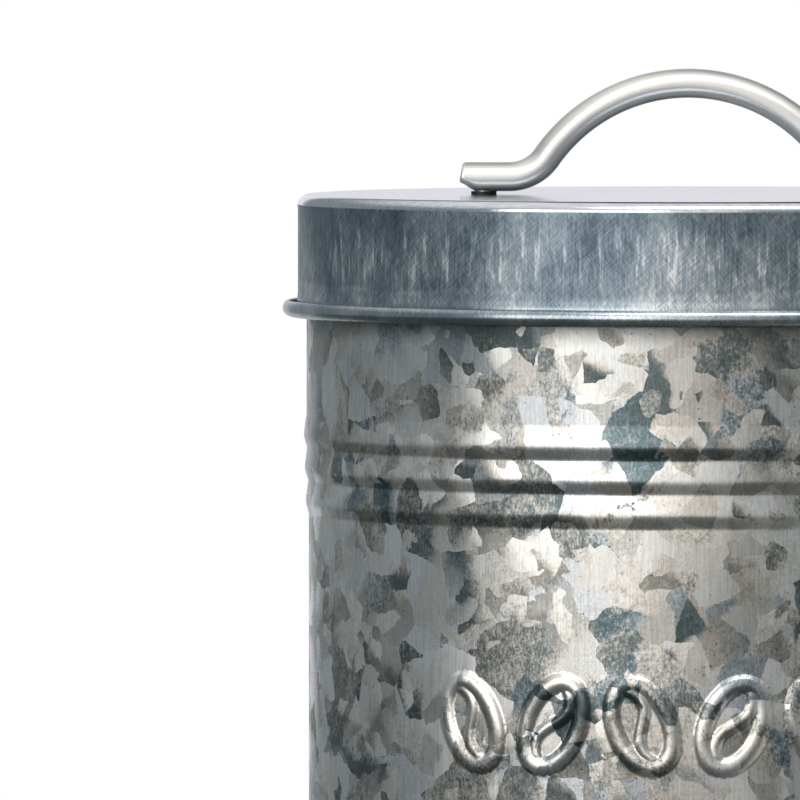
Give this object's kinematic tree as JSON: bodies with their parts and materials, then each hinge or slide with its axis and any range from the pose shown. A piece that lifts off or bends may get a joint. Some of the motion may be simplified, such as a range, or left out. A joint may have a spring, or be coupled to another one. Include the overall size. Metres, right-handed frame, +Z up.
{
  "type": "storage tin",
  "caption": "Round galvanised canister with a slip-over lid and a chromed bow handle, for keeping coffee dry.",
  "frame": {"origin": "centre of the ring the tin stands on, at table level", "axes": "+Z up the tin's axis; -Y is the front, where the pressed motif is; +X to the right"},
  "size_m": [0.127, 0.127, 0.1606],
  "materials": {
    "galvanised_sheet": "zinc spangle, satin",
    "galvanised_base": "zinc spangle, satin",
    "drawn_lid": "drawn and brushed",
    "silicone": "matt, milky",
    "chrome": "polished",
    "black_plastic": "satin",
    "zinc_plate": "bright zinc plate"
  },
  "bodies": {
    "can": {"can_shell": "galvanised_sheet", "base_pan": "galvanised_base"},
    "seal": {"lid_seal": "silicone"},
    "lid": {"lid_shell": "drawn_lid", "handle_bar": "chrome", "handle_collar_left": "black_plastic", "handle_collar_right": "black_plastic", "handle_washer_left": "zinc_plate", "handle_washer_right": "zinc_plate", "handle_screw_left": "zinc_plate", "handle_screw_right": "zinc_plate"}
  },
  "joints": [
    {"name": "lid_lift", "type": "slide", "parent": "can", "child": "seal", "axis": [0, 0, 1], "range_m": [0, 0.06]},
    {"name": "lid_turn", "type": "hinge", "parent": "seal", "child": "lid", "pos_m": [0, 0, 0.14], "axis": [0, 0, 1], "continuous": true}
  ]
}
